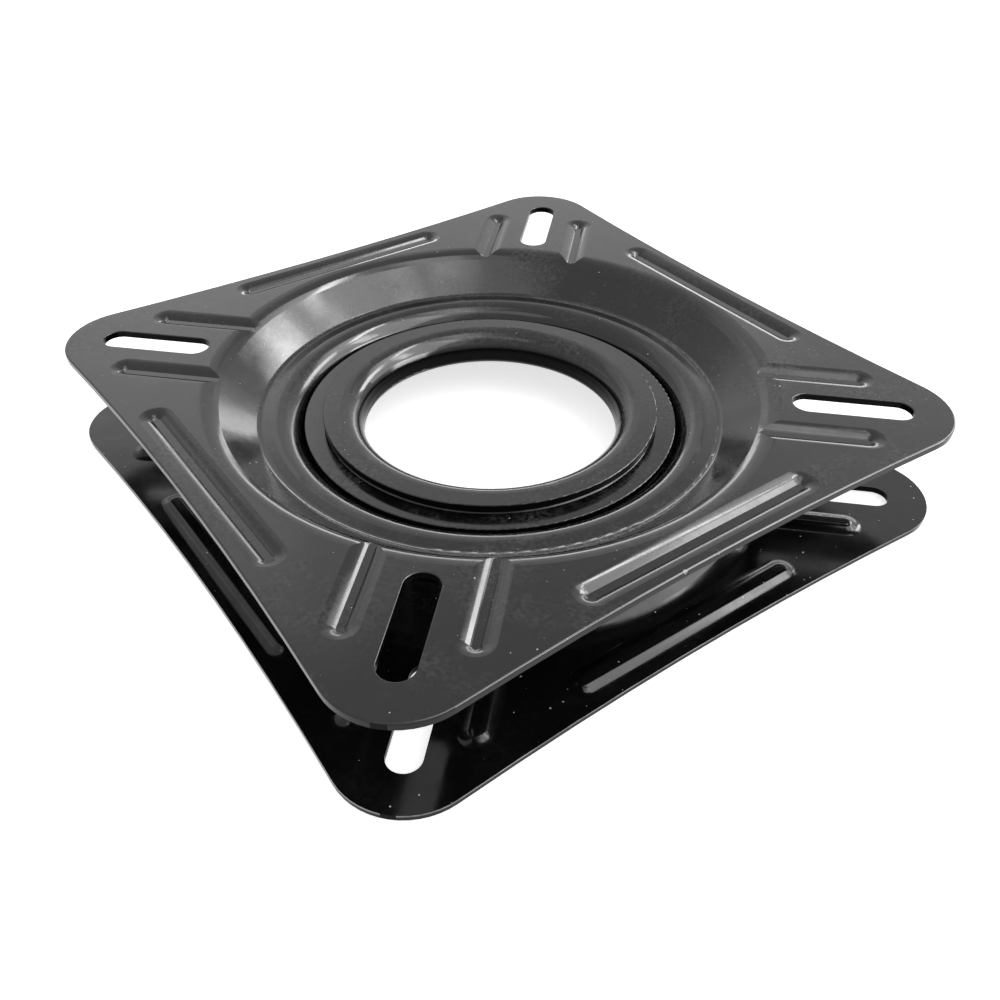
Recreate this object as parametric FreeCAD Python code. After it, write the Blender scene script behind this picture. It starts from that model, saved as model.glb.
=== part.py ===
import FreeCAD, Part
import math
import os

# Leading sizes of the two pressed plates, in millimetres
plate_width = 180.0
plate_corner_r = 17.4
plate_edge_bow = 2.4
sheet_t = 1.8
overall_h = 30.0
edge_round = 0.45

# Slots, one on each diagonal, and the grooves pressed beside them and along the sides
slot_length = 30.5
slot_width = 8.2
slot_corner_land = 10.0
slot_round = 0.3
rib_floor_width = 1.8
rib_depth = 1.4
rib_wall_angle = 36.0
rib_brim_angle = 5.0
rib_shoulder_bend = 6.2
rib_form_rise = 0.27
rib_hollow_reach = 0.5
short_rib_length = 27.0
short_rib_slot_gap = 8.8
short_rib_setback = 10.2
long_rib_length = 65.0
long_rib_inset = 9.1

# Neck of the bottom plate, with the step round it and the lip rolled outwards at its top
neck_bore_r = 34.8
neck_foot_fillet = 0.2
neck_step = 2.3
step_inner_width = 5.4
step_outer_width = 8.6
step_bend = 3.0
lip_roll = 6.0
lip_width = 10.7

# Retaining ring under the lip: leg on the neck's foot, land under the lip, strip over the balls
ring_t = 1.5
ring_leg_clearance = 0.05
ring_nest_clearance = 0.1
ring_lip_overlap = 0.5
ring_step_bend = 0.6
ring_land_rise = 1.3
ring_strip_width = 5.7
ring_wall_gap = 0.5
ring_round = 0.3

# Outer ball row, in the arched track of the top plate and on the floor of the bottom plate
outer_ball_d = 8.0
outer_ball_count = 24
track_relief = 1.0
track_slope = 8.0
ball_running_gap = 0.01

# Inner ball row, between the top plate's flange and the retaining ring
inner_ball_d = 3.0
inner_ball_count = 24
inner_row_inset = 3.6
inner_ball_gap = 0.015
flange_width = 7.0
flange_bend = 1.2
flange_floor_gap = 0.6

# Dish from the flat rim down to the ball track
dish_wall_angle = 40.0
dish_foot_width = 4.3
dish_shoulder_bend = 8.0
dish_foot_bend = 2.0
dish_land = 2.2

# Ball cages, with their webs outside the pockets
outer_cage_t = 1.6
outer_cage_drop = 0.9
outer_cage_inner_web = 0.54
outer_cage_outer_web = 1.14
outer_pocket_gap = 0.06
inner_cage_t = 0.8
inner_cage_inner_web = 1.12
inner_cage_outer_web = 1.02
inner_pocket_gap = 0.08

# Radii that follow, from the opening outwards
neck_wall_r = neck_bore_r + sheet_t
step_inner_r = neck_bore_r + step_inner_width
step_outer_r = neck_bore_r + step_outer_width
lip_outer_r = neck_bore_r + lip_width
ring_step_r = lip_outer_r - ring_lip_overlap
ring_outer_r = ring_step_r + ring_strip_width
track_wall_r = ring_outer_r + ring_wall_gap
flange_inner_r = track_wall_r - flange_width
inner_pitch_r = track_wall_r - inner_row_inset
track_r = outer_ball_d / 2 + track_relief
outer_pitch_r = track_wall_r + sheet_t + track_r
dish_foot_r = outer_pitch_r + dish_foot_width
corner_tip_r = (plate_width / 2 - plate_corner_r) * math.sqrt(2) + plate_corner_r
slot_centre_r = corner_tip_r - slot_corner_land - slot_length / 2

# Heights that follow, from the middle of the outer balls at half height
outer_ball_z = overall_h / 2
floor_z = outer_ball_z - outer_ball_d / 2 - ball_running_gap
crown_z = outer_ball_z + outer_ball_d / 2 + ball_running_gap + sheet_t
crown_depth = overall_h - crown_z
neck_floor_z = floor_z + neck_step
flange_top_z = floor_z + flange_floor_gap + sheet_t
inner_ball_z = flange_top_z + inner_ball_gap + inner_ball_d / 2
ring_under_z = inner_ball_z + inner_ball_d / 2 + inner_ball_gap
ring_top_z = ring_under_z + ring_t
land_z = ring_top_z + ring_land_rise
lip_top_z = land_z + sheet_t


def unit(a, b):
    """Direction and length of the way from a to b."""
    d = math.hypot(b[0] - a[0], b[1] - a[1])
    return (b[0] - a[0]) / d, (b[1] - a[1]) / d, d


def section_point(p):
    """Point of a radial section: radius along X, height along Z."""
    return FreeCAD.Vector(p[0], 0, p[1])


def offset_path(points, t):
    """The same path moved sideways by t, to the left of its own direction."""
    lines = []
    for a, b in zip(points, points[1:]):
        ux, uz, _ = unit(a, b)
        lines.append(((a[0] - uz * t, a[1] + ux * t), (ux, uz)))
    moved = [lines[0][0]]
    for (p, u), (q, v) in zip(lines, lines[1:]):
        cross = u[0] * v[1] - u[1] * v[0]
        s = ((q[0] - p[0]) * v[1] - (q[1] - p[1]) * v[0]) / cross
        moved.append((p[0] + u[0] * s, p[1] + u[1] * s))
    ux, uz, _ = unit(points[-2], points[-1])
    moved.append((points[-1][0] - uz * t, points[-1][1] + ux * t))
    return moved


def bent_edges(points, radii):
    """Edges of a path whose inner corners are rounded by the given radii."""
    edges = []
    start = points[0]
    for i in range(1, len(points) - 1):
        ax, az, _ = unit(points[i], points[i - 1])
        bx, bz, _ = unit(points[i], points[i + 1])
        turn = math.pi - math.acos(ax * bx + az * bz)
        reach = radii[i - 1] * math.tan(turn / 2)
        a = (points[i][0] + ax * reach, points[i][1] + az * reach)
        b = (points[i][0] + bx * reach, points[i][1] + bz * reach)
        mx, mz, _ = unit((0, 0), (ax + bx, az + bz))
        away = radii[i - 1] / math.cos(turn / 2) - radii[i - 1]
        mid = (points[i][0] + mx * away, points[i][1] + mz * away)
        edges.append(Part.makeLine(section_point(start), section_point(a)))
        edges.append(Part.Arc(section_point(a), section_point(mid), section_point(b)).toShape())
        start = b
    edges.append(Part.makeLine(section_point(start), section_point(points[-1])))
    return edges


def pressed_section(points, radii, t):
    """Radial section of bent sheet: the path, its offset by t to the left and two square ends."""
    far = offset_path(points, t)
    far_radii = []
    for i, r in enumerate(radii):
        ux, uz, _ = unit(points[i], points[i + 1])
        vx, vz, _ = unit(points[i + 1], points[i + 2])
        left = ux * vz - uz * vx > 0
        far_radii.append(r - t if left else r + t)
    near_edges = bent_edges(points, radii)
    far_edges = bent_edges(far, far_radii)
    first = Part.makeLine(section_point(points[0]), section_point(far[0]))
    last = Part.makeLine(section_point(points[-1]), section_point(far[-1]))
    return Part.Face(Part.Wire(Part.__sortEdges__(near_edges + [last] + far_edges + [first])))


def turned(face):
    """Solid of revolution about the vertical axis."""
    return face.revolve(FreeCAD.Vector(0, 0, 0), FreeCAD.Vector(0, 0, 1), 360)


def outline_face():
    """Square plate outline with round corners and sides drawn in a little, corners on X and Y."""
    c = plate_width / 2 - plate_corner_r
    m = plate_corner_r - plate_edge_bow
    big = (m * m + c * c - plate_corner_r ** 2) / (2 * (plate_corner_r - m))
    hub = FreeCAD.Vector(c + m + big, 0, 0)
    corner = FreeCAD.Vector(c, c, 0)
    to_hub = hub.sub(corner).normalize()
    touch_low = corner.add(FreeCAD.Vector(to_hub).multiply(plate_corner_r))
    touch_high = FreeCAD.Vector(touch_low.y, touch_low.x, 0)
    mirror_low = FreeCAD.Vector(touch_low.x, -touch_low.y, 0)
    tip = corner.add(FreeCAD.Vector(1, 1, 0).normalize().multiply(plate_corner_r))
    edges = []
    for k in range(4):
        side = Part.Arc(mirror_low, FreeCAD.Vector(c + m, 0, 0), touch_low).toShape()
        round_corner = Part.Arc(touch_low, tip, touch_high).toShape()
        for e in (side, round_corner):
            e.rotate(FreeCAD.Vector(0, 0, 0), FreeCAD.Vector(0, 0, 1), 45 + 90 * k)
            edges.append(e)
    return Part.Face(Part.Wire(Part.__sortEdges__(edges)))


def level_edges(solid, z, wanted):
    """Edges of the solid that lie at height z and whose middle point is wanted."""
    found = []
    for e in solid.Edges:
        if abs(e.BoundBox.ZMin - z) < 0.01 and abs(e.BoundBox.ZMax - z) < 0.01:
            if wanted(e.valueAt((e.FirstParameter + e.LastParameter) / 2)):
                found.append(e)
    return found


def rim(join_r):
    """Flat outer part of a plate with its outer face at height 0, open inside the dish."""
    slab = outline_face().extrude(FreeCAD.Vector(0, 0, -sheet_t))
    slab = slab.makeFillet(edge_round, level_edges(slab, 0.0, lambda p: True))
    return slab.cut(Part.makeCylinder(join_r, 3 * sheet_t, FreeCAD.Vector(0, 0, -2 * sheet_t)))


def slot_cutter(angle):
    """Long hole on a diagonal."""
    h = slot_length / 2 - slot_width / 2
    r = slot_width / 2
    z = -overall_h / 2
    a = FreeCAD.Vector(slot_centre_r - h, -r, z)
    b = FreeCAD.Vector(slot_centre_r + h, -r, z)
    c = FreeCAD.Vector(slot_centre_r + h, r, z)
    d = FreeCAD.Vector(slot_centre_r - h, r, z)
    tip_out = Part.Arc(b, FreeCAD.Vector(slot_centre_r + h + r, 0, z), c).toShape()
    tip_in = Part.Arc(d, FreeCAD.Vector(slot_centre_r - h - r, 0, z), a).toShape()
    wire = Part.Wire([Part.makeLine(a, b), tip_out, Part.makeLine(c, d), tip_in])
    cutter = Part.Face(wire).extrude(FreeCAD.Vector(0, 0, overall_h))
    cutter.rotate(FreeCAD.Vector(0, 0, 0), FreeCAD.Vector(0, 0, 1), angle)
    return cutter


def rib_section(grow):
    """Half of a rib's cross section from its middle outwards: flat floor, short wall, wide soft shoulder."""
    half = rib_floor_width / 2
    lean = math.radians(rib_wall_angle)
    brim = math.radians(rib_brim_angle)
    bend = rib_shoulder_bend - grow
    fall = rib_depth - rib_shoulder_bend * (math.cos(brim) - math.cos(lean))
    hub_r = half + rib_shoulder_bend * math.sin(lean) + fall / math.tan(lean)
    hub_z = -rib_shoulder_bend * math.cos(brim)

    def around(r, z, size, angle):
        return FreeCAD.Vector(r - size * math.sin(angle), 0, z + size * math.cos(angle))

    middle = FreeCAD.Vector(0, 0, -rib_depth - grow)
    floor = FreeCAD.Vector(half, 0, -rib_depth - grow)
    foot = around(half, -rib_depth, -grow, lean)
    edges = [Part.makeLine(middle, floor)]
    if grow > 0:
        edges.append(Part.Arc(floor, around(half, -rib_depth, -grow, lean / 2), foot).toShape())
    wall = around(hub_r, hub_z, bend, lean)
    crest = around(hub_r, hub_z, bend, 0.0)
    edges.append(Part.makeLine(foot, wall))
    edges.append(Part.Arc(wall, around(hub_r, hub_z, bend, lean / 2), crest).toShape())
    edge = FreeCAD.Vector(hub_r, 0, rib_form_rise - grow)
    top = FreeCAD.Vector(0, 0, rib_form_rise - grow)
    edges += [Part.makeLine(crest, edge), Part.makeLine(edge, top), Part.makeLine(top, middle)]
    return Part.Face(Part.Wire(edges))


def rib_form(length, grow):
    """Long form lying along X with round ends, grown by the given thickness."""
    run = (length - rib_floor_width) / 2
    section = rib_section(grow)
    forms = []
    for side in (0, 180):
        end = section.copy()
        end.rotate(FreeCAD.Vector(0, 0, 0), FreeCAD.Vector(0, 0, 1), side - 90)
        end = end.revolve(FreeCAD.Vector(0, 0, 0), FreeCAD.Vector(0, 0, 1), 180)
        end.translate(FreeCAD.Vector(run if side == 0 else -run, 0, 0))
        wall_side = section.copy()
        wall_side.rotate(FreeCAD.Vector(0, 0, 0), FreeCAD.Vector(0, 0, 1), side + 90)
        wall_side.translate(FreeCAD.Vector(-run, 0, 0))
        forms += [end, wall_side.extrude(FreeCAD.Vector(2 * run, 0, 0))]
    return forms[0].fuse(forms[1:]).removeSplitter()


def rib_places():
    """Place of every rib: distance from the axis, shift aside, length, direction, and how it lies."""
    short_r = slot_centre_r - short_rib_setback
    aside = slot_width / 2 + short_rib_slot_gap + rib_floor_width / 2
    places = []
    for k in range(4):
        places.append((short_r, aside, short_rib_length, 90 * k, 0))
        places.append((short_r, -aside, short_rib_length, 90 * k, 0))
        places.append((plate_width / 2 - long_rib_inset, 0, long_rib_length, 45 + 90 * k, 90))
    return places


def rib_set(grow):
    """Forms at the places of all ribs of a plate."""
    forms = []
    by_length = {length: rib_form(length, grow) for length in (short_rib_length, long_rib_length)}
    for distance, sideways, length, angle, lie in rib_places():
        form = by_length[length].copy()
        form.rotate(FreeCAD.Vector(0, 0, 0), FreeCAD.Vector(0, 0, 1), lie)
        form.translate(FreeCAD.Vector(distance, sideways, 0))
        form.rotate(FreeCAD.Vector(0, 0, 0), FreeCAD.Vector(0, 0, 1), angle)
        forms.append(form)
    return forms


def in_slot(p):
    """True where a point lies over a slot or on its edge."""
    far, near = max(abs(p.x), abs(p.y)), min(abs(p.x), abs(p.y))
    return abs(far - slot_centre_r) < slot_length / 2 + edge_round and near < slot_width / 2 + edge_round


def dish_foot():
    """Corner between the dish wall and the slope of the ball track, as radius and depth."""
    tilt = math.radians(track_slope)
    big = track_r + sheet_t
    touch_r = outer_pitch_r + big * math.sin(tilt)
    touch_depth = crown_depth + big * (1 - math.cos(tilt))
    return dish_foot_r, touch_depth + (dish_foot_r - touch_r) * math.tan(tilt)


def dish_wall_middle():
    """Point half way down the dish wall, where a plate's rim meets its middle."""
    r, depth = dish_foot()
    return r + depth / 2 / math.tan(math.radians(dish_wall_angle)), -depth / 2


def dish_hollow(path):
    """Room over the dish shoulder, reaching a little into its sheet, where no rib stands."""
    inside = offset_path(path, rib_hollow_reach)
    edges = bent_edges(inside, [dish_shoulder_bend - rib_hollow_reach])
    corners = [inside[-1], (0.0, inside[-1][1]), (0.0, sheet_t), (inside[0][0], sheet_t), inside[0]]
    for a, b in zip(corners, corners[1:]):
        edges.append(Part.makeLine(section_point(a), section_point(b)))
    return turned(Part.Face(Part.Wire(Part.__sortEdges__(edges))))


def pressed_rim():
    """Outer half of a plate with its outer face at height 0: rim, dish shoulder, ribs and slots."""
    r, depth = dish_foot()
    shoulder_r = r + depth / math.tan(math.radians(dish_wall_angle))
    join_r = shoulder_r + dish_shoulder_bend * math.tan(math.radians(dish_wall_angle) / 2) + dish_land
    path = [(join_r, 0.0), (shoulder_r, 0.0), dish_wall_middle()]
    shoulder = turned(pressed_section(path, [dish_shoulder_bend], sheet_t))
    hollow = dish_hollow(path)
    grown = [form.cut(hollow) for form in rib_set(sheet_t)]
    plate = rim(join_r).fuse([shoulder] + grown).removeSplitter()
    plate = plate.cut(rib_set(0.0))
    plate = plate.cut([slot_cutter(90 * k) for k in range(4)])
    return plate.makeFillet(slot_round, level_edges(plate, 0.0, in_slot))


def top_plate(outer_half):
    """Top plate: rim, dish, arched ball track, wall and inner flange."""
    r, depth = dish_foot()
    crest_depth = depth - (r - track_wall_r) * math.tan(math.radians(track_slope))
    low = overall_h - flange_top_z
    path = [dish_wall_middle(), (r, -depth), (track_wall_r, -crest_depth)]
    path += [(track_wall_r, -low), (flange_inner_r, -low)]
    middle = turned(pressed_section(path, [dish_foot_bend, track_r + sheet_t, flange_bend], sheet_t))
    plate = outer_half.fuse(middle).removeSplitter()
    plate.translate(FreeCAD.Vector(0, 0, overall_h))
    return plate


def bottom_plate(outer_half):
    """Bottom plate: the same rim and dish turned over, a ball floor, a step and the neck with its lip."""
    r, depth = dish_foot()
    under = floor_z - sheet_t
    floor_r = r - (depth - under) / math.tan(math.radians(track_slope))
    neck_under = neck_floor_z - sheet_t
    path = [dish_wall_middle(), (r, -depth), (floor_r, -under), (step_outer_r, -under)]
    path += [(step_inner_r, -neck_under), (neck_bore_r, -neck_under)]
    path += [(neck_bore_r, -lip_top_z), (lip_outer_r, -lip_top_z)]
    bends = [dish_foot_bend, track_r + sheet_t, step_bend, step_bend / 2]
    bends += [neck_foot_fillet + sheet_t, lip_roll]
    plate = outer_half.fuse(turned(pressed_section(path, bends, sheet_t))).removeSplitter()
    plate.rotate(FreeCAD.Vector(0, 0, 0), FreeCAD.Vector(1, 0, 0), 180)
    return round_circle(plate, lip_outer_r, lip_top_z, ring_round)


def round_circle(solid, r, z, size):
    """The solid with one level circular edge rounded."""
    return solid.makeFillet(size, level_edges(solid, z, lambda p: abs(math.hypot(p.x, p.y) - r) < 0.01))


def retaining_ring():
    """Pressed ring under the lip: flat outer strip over the inner balls, raised land, leg round the neck."""
    leg_r = neck_wall_r + neck_foot_fillet + ring_leg_clearance
    leg_bend = lip_roll - sheet_t + ring_nest_clearance
    path = [(ring_outer_r, ring_top_z), (ring_step_r, ring_top_z)]
    path += [(ring_step_r - ring_land_rise, land_z), (leg_r, land_z), (leg_r, neck_floor_z)]
    bends = [ring_step_bend, ring_step_bend + ring_t, leg_bend]
    ring = turned(pressed_section(path, bends, ring_t))
    return round_circle(ring, ring_outer_r, ring_top_z, ring_round)


def flat_ring(inner_r, outer_r, z, t):
    """Level ring of rectangular section."""
    disc = Part.makeCylinder(outer_r, t, FreeCAD.Vector(0, 0, z))
    return disc.cut(Part.makeCylinder(inner_r, 3 * t, FreeCAD.Vector(0, 0, z - t)))


def ball_places(pitch_r, count, z):
    """Ball centres of one row, evenly round the circle."""
    places = []
    for i in range(count):
        a = 2 * math.pi * (i + 0.5) / count
        places.append(FreeCAD.Vector(pitch_r * math.cos(a), pitch_r * math.sin(a), z))
    return places


def cage(pitch_r, webs, z, t, places, pocket_r):
    """Thin ring centred on height z with a round pocket at every ball and a web inside and outside them."""
    ring = flat_ring(pitch_r - pocket_r - webs[0], pitch_r + pocket_r + webs[1], z - t / 2, t)
    pockets = [Part.makeCylinder(pocket_r, 3 * t, FreeCAD.Vector(p.x, p.y, z - 1.5 * t)) for p in places]
    return ring.cut(pockets)


def ball(place, d):
    """One ball."""
    sphere = Part.makeSphere(d / 2)
    sphere.translate(place)
    return sphere


outer_places = ball_places(outer_pitch_r, outer_ball_count, outer_ball_z)
inner_places = ball_places(inner_pitch_r, inner_ball_count, inner_ball_z)

shapes = {}
outer_half = pressed_rim()
shapes["bottom_plate"] = bottom_plate(outer_half)
shapes["top_plate"] = top_plate(outer_half)
shapes["retaining_ring"] = retaining_ring()
shapes["outer_cage"] = cage(outer_pitch_r, (outer_cage_inner_web, outer_cage_outer_web),
                            outer_ball_z - outer_cage_drop, outer_cage_t, outer_places,
                            outer_ball_d / 2 + outer_pocket_gap)
shapes["inner_cage"] = cage(inner_pitch_r, (inner_cage_inner_web, inner_cage_outer_web),
                            inner_ball_z, inner_cage_t, inner_places,
                            inner_ball_d / 2 + inner_pocket_gap)
for i, place in enumerate(outer_places):
    shapes["outer_ball_%02d" % (i + 1)] = ball(place, outer_ball_d)
for i, place in enumerate(inner_places):
    shapes["inner_ball_%02d" % (i + 1)] = ball(place, inner_ball_d)

os.makedirs("parts", exist_ok=True)
for name, shape in shapes.items():
    shape.exportStep("parts/" + name + ".step")
    box = shape.BoundBox
    print("%-16s valid %s solids %d volume %.1f z %.2f..%.2f" % (
        name, shape.isValid(), len(shape.Solids), shape.Volume, box.ZMin, box.ZMax))
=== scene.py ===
from math import pi, radians, tan

import bpy
from mathutils import Euler, Matrix, Vector

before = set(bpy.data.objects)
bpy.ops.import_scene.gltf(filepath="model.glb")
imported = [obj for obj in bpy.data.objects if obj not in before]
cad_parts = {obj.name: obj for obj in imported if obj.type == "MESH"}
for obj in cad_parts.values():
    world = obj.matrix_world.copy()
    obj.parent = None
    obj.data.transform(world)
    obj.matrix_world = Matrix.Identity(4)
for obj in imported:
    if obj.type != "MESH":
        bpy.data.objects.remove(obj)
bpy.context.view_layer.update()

# ---------------------------------------------------------------------------------------------
# The standpoint: eye a little above the plates, in front of one corner, as in the picture.
# Place (in metres) and turn (in degrees) are in the part's frame: its corners lie on X and Y.

EYE_PLACE = (0.04046, -0.23625, 0.17973)
EYE_TURN = (51.0705, -0.3213, 9.2949)
EYE_LENS = 37.6
EYE_SENSOR = 36.0
EYE_NEAREST = 0.01

eye = bpy.data.objects.new("eye", bpy.data.cameras.new("eye"))
eye.data.lens = EYE_LENS
eye.data.sensor_width = EYE_SENSOR
eye.data.clip_start = EYE_NEAREST
eye.location = EYE_PLACE
eye.rotation_euler = [radians(turn) for turn in EYE_TURN]
bpy.context.collection.objects.link(eye)
bpy.context.scene.camera = eye
bpy.context.scene.view_settings.view_transform = "Standard"

# ---------------------------------------------------------------------------------------------
# The table and the room: a wide white board under the part, in an even white room.
# The room is full white where it is seen or mirrored, and gives the part less fill light.

WHITE = "#FFFFFF"
ROOM_SEEN = 1.0
ROOM_FILL = 0.7
BOARD_HALF = 4.0
BOARD_DROP = 0.0002
BOARD_WHITE = "#F2F2F2"
BOARD_GLOW = 0.7


def srgb(code):
    """Turns a code such as #F2F2F2 into linear red, green, blue and alpha by the sRGB curve."""
    parts = [int(code[i:i + 2], 16) / 255 for i in (1, 3, 5)]
    return [p / 12.92 if p <= 0.04045 else ((p + 0.055) / 1.055) ** 2.4 for p in parts] + [1.0]


def add_node(tree, kind, inputs=(), **settings):
    """Adds a node of a kind, such as Math. The inputs are a row in the order of its sockets, or
    map their names or numbers. Each is a value, an output, or a node for its first output."""
    made = tree.nodes.new("ShaderNode" + kind)
    for name, value in settings.items():
        setattr(made, name, value)
    for key, value in inputs.items() if isinstance(inputs, dict) else enumerate(inputs):
        source = value.outputs[0] if isinstance(value, bpy.types.Node) else value
        if isinstance(source, bpy.types.NodeSocket):
            tree.links.new(source, made.inputs[key])
        else:
            made.inputs[key].default_value = source
    return made


def seen_or_mirrored(tree):
    """1 on rays that show the white room or board to the eye: straight, mirrored or refracted."""
    path = add_node(tree, "LightPath").outputs
    seen = add_node(tree, "Math", (path["Is Camera Ray"], path["Is Glossy Ray"]),
                    operation="MAXIMUM")
    return add_node(tree, "Math", (seen, path["Is Transmission Ray"]), operation="MAXIMUM")


room = bpy.data.worlds.new("white_room")
room.use_nodes = True
tree = room.node_tree
tree.nodes.clear()
level = add_node(tree, "MapRange", (seen_or_mirrored(tree), 0.0, 1.0, ROOM_FILL, ROOM_SEEN))
light = add_node(tree, "Background", {"Color": srgb(WHITE), "Strength": level})
add_node(tree, "OutputWorld", {"Surface": light})
bpy.context.scene.world = room

# Matt white laminate: an even diffuse face, lifted a little towards white where it is seen.
laminate = bpy.data.materials.new("matt_white_laminate")
laminate.use_nodes = True
tree = laminate.node_tree
tree.nodes.clear()
face = add_node(tree, "BsdfDiffuse", {"Color": srgb(BOARD_WHITE)})
lift = add_node(tree, "Math", (seen_or_mirrored(tree), BOARD_GLOW), operation="MULTIPLY")
glow = add_node(tree, "Emission", {"Color": srgb(WHITE), "Strength": lift})
add_node(tree, "OutputMaterial", {"Surface": add_node(tree, "AddShader", (face, glow))})

board_mesh = bpy.data.meshes.new("board")
board_mesh.from_pydata([(x * BOARD_HALF, y * BOARD_HALF, -BOARD_DROP)
                        for x, y in ((-1, -1), (1, -1), (1, 1), (-1, 1))], [], [(0, 1, 2, 3)])
board_mesh.materials.append(laminate)
board = bpy.data.objects.new("board", board_mesh)
bpy.context.collection.objects.link(board)

# ---------------------------------------------------------------------------------------------
# The lamps: a softbox over the right corner lights everything. The others are bright only as
# mirror images in gloss, as flags, windows and pale walls are in a photographer's room.

LAMP_REACH = 2.5
ZENITH = 90.0

# Azimuth, elevation, width, height and roll in degrees as seen from the part, then brightness,
# and whether it lights everything.
LAMPS = {
    "softbox": (-7.8, 55.2, 56.5, 68.9, -37.0, 1.09, True),
    "softbox_side": (13.0, 44.5, 49.4, 65.0, 78.5, 3.35, False),
    "skylight": (2.8, 79.9, 25.3, 10.4, 8.5, 2.28, False),
    "tube_high": (40.7, 57.1, 5.6, 18.3, -40.2, 15.9, False),
    "tube_low": (48.0, 31.0, 11.0, 26.0, 38.0, 11.5, False),
    "strip_near": (12.0, 43.0, 9.0, 22.0, -54.7, 8.0, False),
    "strip_low": (-5.0, 15.0, 34.0, 24.0, 0.0, 11.0, False),
    "window_far": (86.0, 9.0, 50.0, 8.0, 0.0, 3.0, False),
    "wall_right": (49.4, 13.4, 68.3, 48.7, 13.1, 0.28, False),
    "wall_far": (78.9, -0.7, 113.1, 38.3, 49.9, 0.35, False),
    "wall_left": (125.7, 31.9, 35.4, 23.3, 66.2, 0.39, False),
    "window_left": (171.4, 30.7, 24.0, 4.8, 6.2, 0.49, False),
    "ceiling_near": (-71.8, 71.3, 49.4, 15.7, 2.6, 1.24, False),
}

for name, (azimuth, elevation, wide, high, roll, brightness, lights_all) in LAMPS.items():
    lamp = bpy.data.objects.new(name, bpy.data.lights.new(name, "AREA"))
    towards = Euler((0, radians(ZENITH - elevation), radians(azimuth))).to_matrix()
    turn = towards @ Matrix.Rotation(radians(roll), 3, "Z")
    lamp.data.shape = "RECTANGLE"
    lamp.data.size = 2 * LAMP_REACH * tan(radians(high / 2))
    lamp.data.size_y = 2 * LAMP_REACH * tan(radians(wide / 2))
    lamp.data.energy = brightness * pi * lamp.data.size * lamp.data.size_y
    lamp.location = turn @ Vector((0, 0, LAMP_REACH))
    lamp.rotation_euler = turn.to_euler()
    lamp.visible_camera = False
    lamp.visible_diffuse = lights_all
    bpy.context.collection.objects.link(lamp)

# ---------------------------------------------------------------------------------------------
# The top plate, the bottom plate and the retaining ring: pressed mild steel, stoved in one
# semi-gloss black enamel. The coat is slightly wavy and smudged, with light dust on it, and
# chipped along a few edges; a highlight is painted along the lower plate's rim.

ENAMEL_BLACK = "#0B0B0B"
ENAMEL_HAZE = "#404040"
ENAMEL_IOR = 1.47
ENAMEL_GLOSS = (0.08, 0.21)
RELIEF = {"pressed_waves": (13.0, 0.03), "orange_peel": (1.8, 0.004), "grit": (0.35, 0.003)}
RELIEF_DETAIL = 1.0
CLOUD_DETAIL = 2.0

# A Mix node's sockets go by number, as their names repeat.
NUMBER_UNDER, NUMBER_OVER = 2, 3
COLOUR_UNDER, COLOUR_OVER, COLOUR_MIXED = 6, 7, 2

# Where a face lies: how far its normal points up or aside, how far out, and how high, in mm.
LOOKS_UP = (0.3, 0.7)
STANDS_STEEP = (0.5, 0.2)
CUT_SIDE = 86.0
LOW_FACES = (14.0, 6.0)

# Smudges: their width in mm, and the bands of their pattern that turn into haze and shine.
SMUDGE = 22.0
SMUDGE_DETAIL = 6.0
SMUDGE_BREAK = 0.75
GLOSS_BAND = (0.35, 0.68)
HAZE_BAND = (0.44, 0.68)
HAZE_GRAIN = 1.1
HAZE_GRAIN_BAND = (0.35, 0.7)
SHINE_BAND = (0.3, 0.7)

# The mirror level of faces, from clean to smudged, of cut walls, and of the outer edges.
FACE_SHINE = (0.58, 0.4)
CUT_SHINE = 0.05
EDGE_SHINE = 0.2
LOW_SHINE = 0.72
LOW_HAZE = 0.15

# A rub mark on the ball track: radius, half width and break in mm, middle and half arc in
# degrees, with the arc's soft end, and what is left of the shine.
RUB_RADIUS = 58.06
RUB_WIDTH = 0.3
RUB_TURN = -71.0
RUB_HALF = 8.0
RUB_END = 3.0
RUB_SHINE = 0.25
BREAK = 1.2
BREAK_BAND = (0.4, 0.6)

# The lower rim's painted highlight by height in mm, and chips by place and radius in mm.
RIM_HEIGHT = (1.25, 1.5)
RIM_PAINTED_HIGHLIGHT = "#B4B4B0"
RIM_BAND = (0.4, 0.6, 0.35, 1.0)
CHIPS = (((53.7, -70.1, 29.7), 0.8), ((60.9, -63.3, 29.8), 0.4), ((64.6, -59.9, 29.8), 0.3))
CHIP_REACH = 1.2
CHIP_STEEL = "#8C8C88"

# Dust by spacing and largest radius in mm and the share of cells left bare, in drifting clouds.
DUST = ((7.0, 0.34, 0.5), (2.6, 0.24, 0.72), (1.5, 0.16, 0.8))
DUST_CLOUD = 34.0
DUST_BAND = (0.4, 0.62, 0.35, 1.0)
DUST_COLOUR = "#B9B9B6"
LOW_DUST = 1.5


def metres(mm):
    """Millimetres as metres, which the coordinates are in."""
    return mm / 1000.0


def per_cell(mm):
    """The scale of a pattern whose cells are that many millimetres wide."""
    return 1.0 / metres(mm)


enamel = bpy.data.materials.new("stoved_black_enamel")
enamel.use_nodes = True
tree = enamel.node_tree
tree.nodes.clear()
place = add_node(tree, "TexCoord").outputs["Object"]
normal = add_node(tree, "TexCoord").outputs["Normal"]

# The pressed sheet's slow waves, orange peel and a finer grit in the dried coat, as height only.
relief = None
for cell, height in RELIEF.values():
    rough = add_node(tree, "TexNoise", {"Vector": place, "Scale": per_cell(cell),
                                        "Detail": RELIEF_DETAIL})
    below = {"Normal": relief} if relief else {}
    relief = add_node(tree, "Bump", {"Height": rough, "Strength": 1.0,
                                     "Distance": metres(height), **below})

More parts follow.
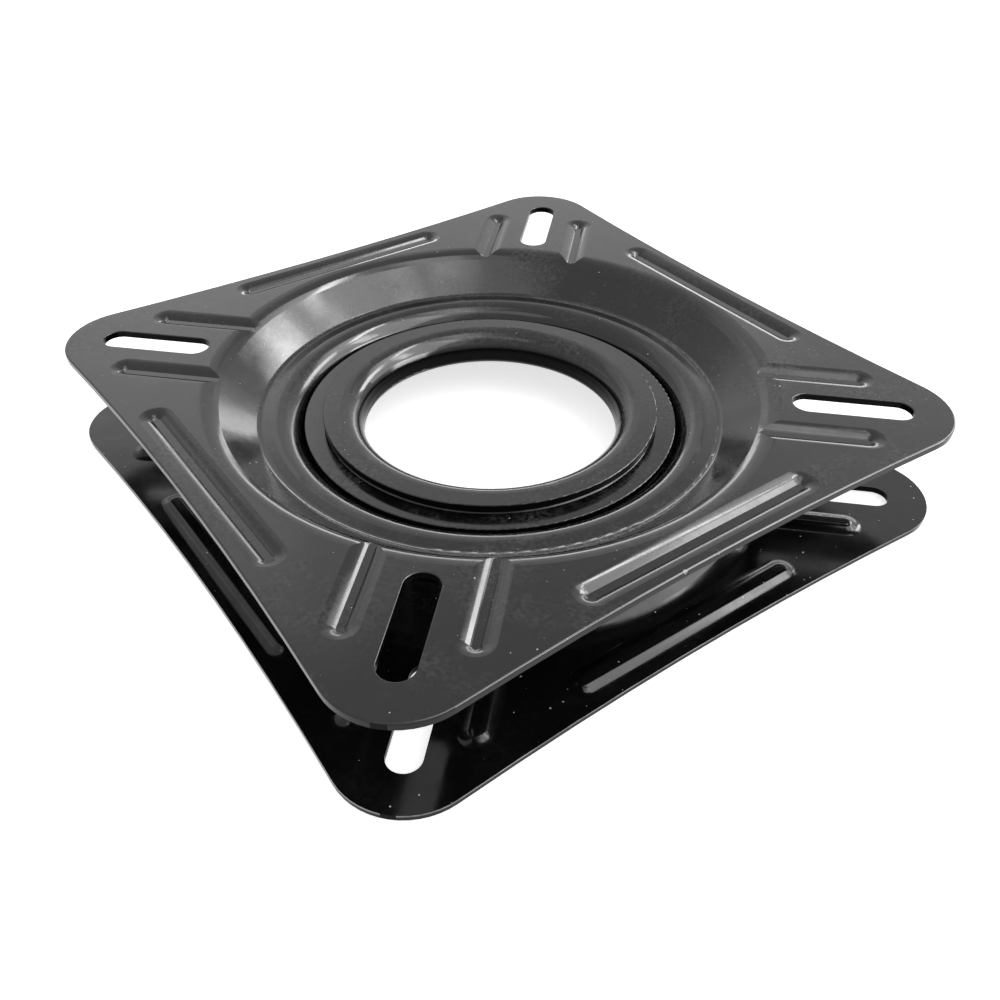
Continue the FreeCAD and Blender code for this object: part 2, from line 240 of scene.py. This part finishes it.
# Which way a face looks, and where it lies: radius and turn about the axis, way out to a side.
x, y, z = add_node(tree, "SeparateXYZ", (place,)).outputs
facing = add_node(tree, "SeparateXYZ", (normal,)).outputs["Z"]
upward = add_node(tree, "MapRange", (facing, *LOOKS_UP))
steep = add_node(tree, "MapRange",
                 (add_node(tree, "Math", (facing,), operation="ABSOLUTE"), *STANDS_STEEP))
squares = [add_node(tree, "Math", (way, way), operation="MULTIPLY") for way in (x, y)]
radius = add_node(tree, "Math", (add_node(tree, "Math", squares, operation="ADD"),),
                  operation="SQRT")
turn_about = add_node(tree, "Math", (y, x), operation="ARCTAN2")
ways_out = [add_node(tree, "Math", (way,), operation="ABSOLUTE") for way in (x, y)]
outward = add_node(tree, "Math", ways_out, operation="ADD")
inside = add_node(tree, "Math", (outward, metres(CUT_SIDE) * 2 ** 0.5), operation="LESS_THAN")
low = add_node(tree, "MapRange", (z, *map(metres, LOW_FACES)))

# Handling smudges: soft clouds in which the coat is duller and a touch greyer, on faces that
# look up, and less so on the lower plate.
smudge = add_node(tree, "TexNoise", {"Vector": place, "Scale": per_cell(SMUDGE),
                                     "Detail": SMUDGE_DETAIL, "Roughness": SMUDGE_BREAK})
gloss = add_node(tree, "MapRange", (smudge, *GLOSS_BAND, *ENAMEL_GLOSS))
grainy = add_node(tree, "TexNoise", {"Vector": place, "Scale": per_cell(HAZE_GRAIN),
                                     "Detail": CLOUD_DETAIL})
hazy = add_node(tree, "MapRange", (smudge, *HAZE_BAND))
for share in (add_node(tree, "MapRange", (grainy, *HAZE_GRAIN_BAND)), upward,
              add_node(tree, "MapRange", (low, 0.0, 1.0, 1.0, LOW_HAZE))):
    hazy = add_node(tree, "Math", (hazy, share), operation="MULTIPLY")
coat_colour = add_node(tree, "Mix", {"Factor": hazy, COLOUR_UNDER: srgb(ENAMEL_BLACK),
                                     COLOUR_OVER: srgb(ENAMEL_HAZE)},
                       data_type="RGBA").outputs[COLOUR_MIXED]

# Steep faces took less coat and are duller: the cut walls of slots and openings most.
cut_shine = add_node(tree, "MapRange", (inside, 0.0, 1.0, EDGE_SHINE, CUT_SHINE))
face_shine = add_node(tree, "MapRange", (smudge, *SHINE_BAND, *FACE_SHINE))
shine = add_node(tree, "Mix", {"Factor": steep, NUMBER_UNDER: face_shine,
                               NUMBER_OVER: cut_shine})

# A rub mark along the ball track near the front corner: a thin, broken and dull arc.
broken = add_node(tree, "TexNoise", {"Vector": place, "Scale": per_cell(BREAK),
                                     "Detail": CLOUD_DETAIL})
off_arc = add_node(tree, "Math", (radius, metres(RUB_RADIUS)), operation="SUBTRACT")
off_middle = add_node(tree, "Math", (turn_about, radians(RUB_TURN)), operation="SUBTRACT")
off_arc, off_middle = [add_node(tree, "Math", (off,), operation="ABSOLUTE")
                       for off in (off_arc, off_middle)]
rub = add_node(tree, "MapRange", (off_arc, metres(RUB_WIDTH), 0.0))
for share in (add_node(tree, "MapRange", (off_middle, radians(RUB_HALF),
                                          radians(RUB_HALF - RUB_END))),
              upward, add_node(tree, "MapRange", (broken, *BREAK_BAND))):
    rub = add_node(tree, "Math", (rub, share), operation="MULTIPLY")

# The lower plate has more of a dulling film, as it lies under the other. The rub is duller too.
for share in (add_node(tree, "MapRange", (low, 0.0, 1.0, 1.0, LOW_SHINE)),
              add_node(tree, "MapRange", (rub, 0.0, 1.0, 1.0, RUB_SHINE))):
    shine = add_node(tree, "Math", (shine, share), operation="MULTIPLY")

# Painted highlight: light grey along the lower plate's upper rim edge, broken in places.
rim = add_node(tree, "Math", (1.0, inside), operation="SUBTRACT")
for share in (steep, add_node(tree, "MapRange", (z, *map(metres, RIM_HEIGHT))), low,
              add_node(tree, "MapRange", (smudge, *RIM_BAND))):
    rim = add_node(tree, "Math", (rim, share), operation="MULTIPLY")
coat_colour = add_node(tree, "Mix", {"Factor": rim, COLOUR_UNDER: coat_colour,
                                     COLOUR_OVER: srgb(RIM_PAINTED_HIGHLIGHT)},
                       data_type="RGBA").outputs[COLOUR_MIXED]

# Small chips in the coat along the top plate's front right edge, with grey steel in them.
for chip_place, chip_radius in CHIPS:
    apart = add_node(tree, "VectorMath", (place, [metres(mm) for mm in chip_place]),
                     operation="DISTANCE").outputs["Value"]
    ragged = add_node(tree, "Math", (broken, metres(chip_radius)), operation="MULTIPLY")
    ragged = add_node(tree, "Math", (apart, ragged), operation="ADD")
    chip = add_node(tree, "Math", (ragged, metres(chip_radius) * CHIP_REACH),
                    operation="LESS_THAN")
    coat_colour = add_node(tree, "Mix", {"Factor": chip, COLOUR_UNDER: coat_colour,
                                         COLOUR_OVER: srgb(CHIP_STEEL)},
                           data_type="RGBA").outputs[COLOUR_MIXED]

# Dust: single light specks on faces that look up, of three sizes, denser in some clouds and on
# the lower plate.
cloud = add_node(tree, "TexNoise", {"Vector": place, "Scale": per_cell(DUST_CLOUD),
                                    "Detail": CLOUD_DETAIL})
thick = add_node(tree, "MapRange", (cloud, *DUST_BAND))
for share in (upward, add_node(tree, "MapRange", (low, 0.0, 1.0, 1.0, LOW_DUST))):
    thick = add_node(tree, "Math", (thick, share), operation="MULTIPLY")
for spacing, largest, bare in DUST:
    cell = add_node(tree, "TexVoronoi", {"Vector": place, "Scale": per_cell(spacing)}).outputs
    draw = add_node(tree, "SeparateColor", (cell["Color"],))
    size = add_node(tree, "MapRange", (draw, bare, 1.0, 0.0, largest / spacing))
    size = add_node(tree, "Math", (size, thick), operation="MULTIPLY")
    speck = add_node(tree, "Math", (cell["Distance"], size), operation="LESS_THAN")
    coat_colour = add_node(tree, "Mix", {"Factor": speck, COLOUR_UNDER: coat_colour,
                                         COLOUR_OVER: srgb(DUST_COLOUR)},
                           data_type="RGBA").outputs[COLOUR_MIXED]

coat = add_node(tree, "BsdfPrincipled", {"Base Color": coat_colour, "Roughness": gloss,
                                         "IOR": ENAMEL_IOR, "Specular IOR Level": shine,
                                         "Normal": relief})
add_node(tree, "OutputMaterial", {"Surface": coat})

for name in ("top_plate", "bottom_plate", "retaining_ring"):
    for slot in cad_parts[name].material_slots:
        slot.material = enamel

# ---------------------------------------------------------------------------------------------
# Both rows of balls: hardened chrome steel, ground and lapped, under a thin film of grease.
# They sit in their cages between the tracks, the larger row outside and the smaller inside.

BALL_STEEL = "#C9CACC"
BALL_GLOSS = (0.06, 0.3)
GREASE = 1.6
GREASE_BAND = (0.4, 0.65)

# Lapped steel is a mirror, which the grease dulls in small patches.
ball_steel = bpy.data.materials.new("lapped_bearing_steel")
ball_steel.use_nodes = True
tree = ball_steel.node_tree
tree.nodes.clear()
place = add_node(tree, "TexCoord").outputs["Object"]
grease = add_node(tree, "TexNoise", {"Vector": place, "Scale": per_cell(GREASE),
                                     "Detail": CLOUD_DETAIL})
film = add_node(tree, "MapRange", (grease, *GREASE_BAND, *BALL_GLOSS))
face = add_node(tree, "BsdfPrincipled", {"Base Color": srgb(BALL_STEEL), "Metallic": 1.0,
                                         "Roughness": film})
add_node(tree, "OutputMaterial", {"Surface": face})

for name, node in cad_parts.items():
    if "_ball_" in name:
        for slot in node.material_slots:
            slot.material = ball_steel

# ---------------------------------------------------------------------------------------------
# Both ball cages: flat rings of dark nylon, injection moulded, with one pocket to each ball.
# They lie loose between the tracks, and the balls carry them along.

NYLON_DARK = "#2A2A2C"
NYLON_IOR = 1.53
NYLON_GLOSS = (0.42, 0.55)
NYLON_GRAIN = 0.5
NYLON_GRAIN_HEIGHT = 0.004

# Moulded nylon has a fine grain from the mould, and a soft, even sheen.
nylon = bpy.data.materials.new("moulded_dark_nylon")
nylon.use_nodes = True
tree = nylon.node_tree
tree.nodes.clear()
place = add_node(tree, "TexCoord").outputs["Object"]
grain = add_node(tree, "TexNoise", {"Vector": place, "Scale": per_cell(NYLON_GRAIN),
                                    "Detail": CLOUD_DETAIL})
bump = add_node(tree, "Bump", {"Height": grain, "Strength": 1.0,
                               "Distance": metres(NYLON_GRAIN_HEIGHT)})
sheen = add_node(tree, "MapRange", (grain, 0.0, 1.0, *NYLON_GLOSS))
face = add_node(tree, "BsdfPrincipled", {"Base Color": srgb(NYLON_DARK), "IOR": NYLON_IOR,
                                         "Roughness": sheen, "Normal": bump})
add_node(tree, "OutputMaterial", {"Surface": face})

for name in ("outer_cage", "inner_cage"):
    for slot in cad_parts[name].material_slots:
        slot.material = nylon
